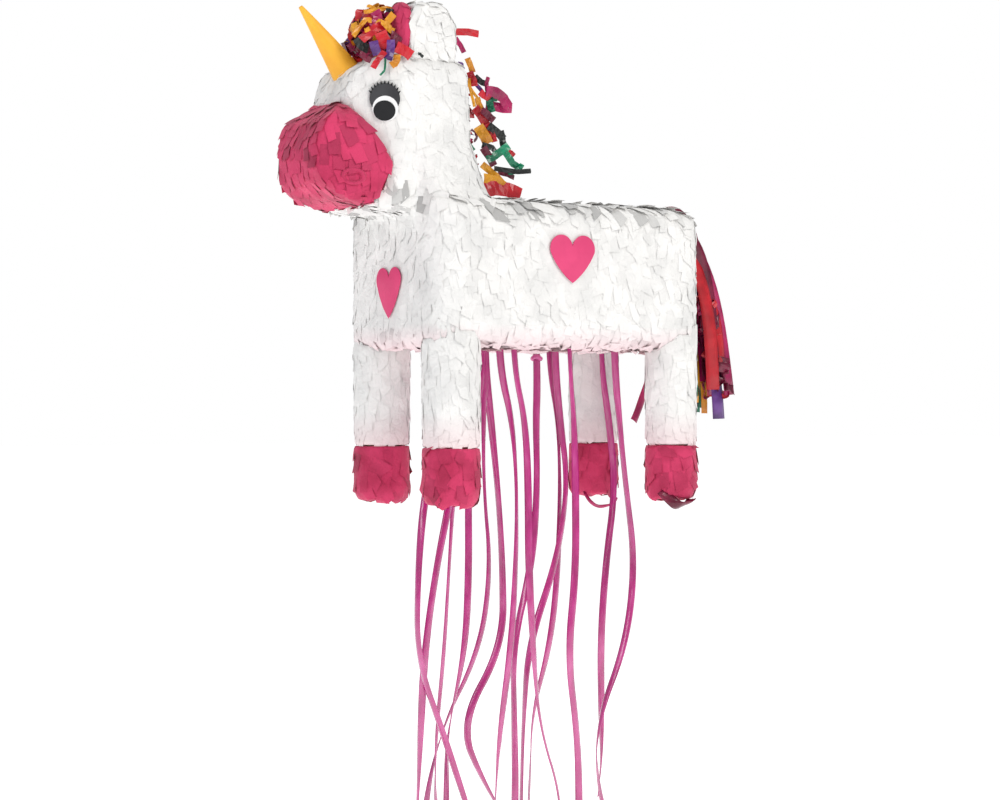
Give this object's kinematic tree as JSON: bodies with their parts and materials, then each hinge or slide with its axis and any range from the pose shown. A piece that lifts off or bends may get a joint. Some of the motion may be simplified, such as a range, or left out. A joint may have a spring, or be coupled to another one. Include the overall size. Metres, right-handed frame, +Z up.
{
  "type": "pinata",
  "caption": "Hanging unicorn pinata of cardboard and cut tissue, with horn, mane, tail, a filler flap in the back and a pull-string trap door with ribbons in the belly.",
  "frame": {"origin": "on the axis of the hanging eyelet, level with the top of the back", "axes": "+Z up, the animal faces -X and its left side faces -Y"},
  "size_m": [0.5623, 0.2096, 0.8899],
  "materials": {
    "cardboard": "plain brown board",
    "white_tissue": "layered cut crepe tissue",
    "pink_tissue": "overlapping crepe tissue",
    "pink_paper": "smooth sticker paper",
    "printed_paper": "smooth printed sticker",
    "yellow_paper": "smooth rolled paper",
    "coloured_strips": "cut tissue and foil strips in several colours",
    "eyelet_plastic": "moulded white",
    "tape": "masking tape",
    "satin_ribbon": "glossy satin"
  },
  "bodies": {
    "root": {"back_panel": "cardboard", "belly_panel": "cardboard", "body_crepe": "white_tissue", "body_side_left": "cardboard", "body_side_right": "cardboard", "chest_heart": "pink_paper", "chest_panel": "cardboard", "decoy_ribbon_01": "satin_ribbon", "decoy_ribbon_02": "satin_ribbon", "decoy_ribbon_03": "satin_ribbon", "decoy_ribbon_04": "satin_ribbon", "decoy_ribbon_05": "satin_ribbon", "decoy_ribbon_06": "satin_ribbon", "decoy_ribbon_07": "satin_ribbon", "decoy_ribbon_08": "satin_ribbon", "decoy_ribbon_09": "satin_ribbon", "decoy_ribbon_10": "satin_ribbon", "decoy_ribbon_11": "satin_ribbon", "decoy_ribbon_12": "satin_ribbon", "decoy_ribbon_13": "satin_ribbon", "forelock": "coloured_strips", "front_left_hoof": "pink_tissue", "front_left_leg_crepe": "white_tissue", "front_left_leg_tube": "cardboard", "front_right_hoof": "pink_tissue", "front_right_leg_crepe": "white_tissue", "front_right_leg_tube": "cardboard", "hanger_plate": "cardboard", "hanging_eyelet": "eyelet_plastic", "head_box": "cardboard", "head_crepe": "white_tissue", "horn": "yellow_paper", "left_ear": "white_tissue", "left_ear_lining": "pink_tissue", "left_eye": "printed_paper", "left_heart": "pink_paper", "mane": "coloured_strips", "muzzle_box": "cardboard", "muzzle_crepe": "pink_tissue", "neck_crepe": "white_tissue", "neck_tube": "cardboard", "rear_left_hoof": "pink_tissue", "rear_left_leg_crepe": "white_tissue", "rear_left_leg_tube": "cardboard", "rear_right_hoof": "pink_tissue", "rear_right_leg_crepe": "white_tissue", "rear_right_leg_tube": "cardboard", "ribbon_tape": "tape", "right_ear": "white_tissue", "right_ear_lining": "pink_tissue", "right_eye": "printed_paper", "right_heart": "pink_paper", "rump_panel": "cardboard", "tail": "coloured_strips"},
    "filler_flap": {"filler_flap": "cardboard", "filler_flap_crepe": "white_tissue"},
    "trap_door": {"trap_door": "cardboard", "trap_door_crepe": "white_tissue"},
    "pull_ribbon": {"pull_ribbon": "satin_ribbon"}
  },
  "joints": [
    {"name": "filler_flap_hinge", "type": "hinge", "parent": "root", "child": "filler_flap", "pos_m": [0.116, 0, 0], "axis": [0, 1, 0], "range_deg": [0, 110]},
    {"name": "trap_door_hinge", "type": "hinge", "parent": "root", "child": "trap_door", "pos_m": [0.075, 0, -0.155], "axis": [0, -1, 0], "range_deg": [0, 95]},
    {"name": "pull_ribbon_hang", "type": "hinge", "parent": "trap_door", "child": "pull_ribbon", "pos_m": [0.012, 0, -0.1605], "axis": [0, -1, 0], "range_deg": [-95, 0]}
  ],
  "couplings": [
    {"joint": "pull_ribbon_hang", "follows": "trap_door_hinge", "ratio": -1}
  ]
}
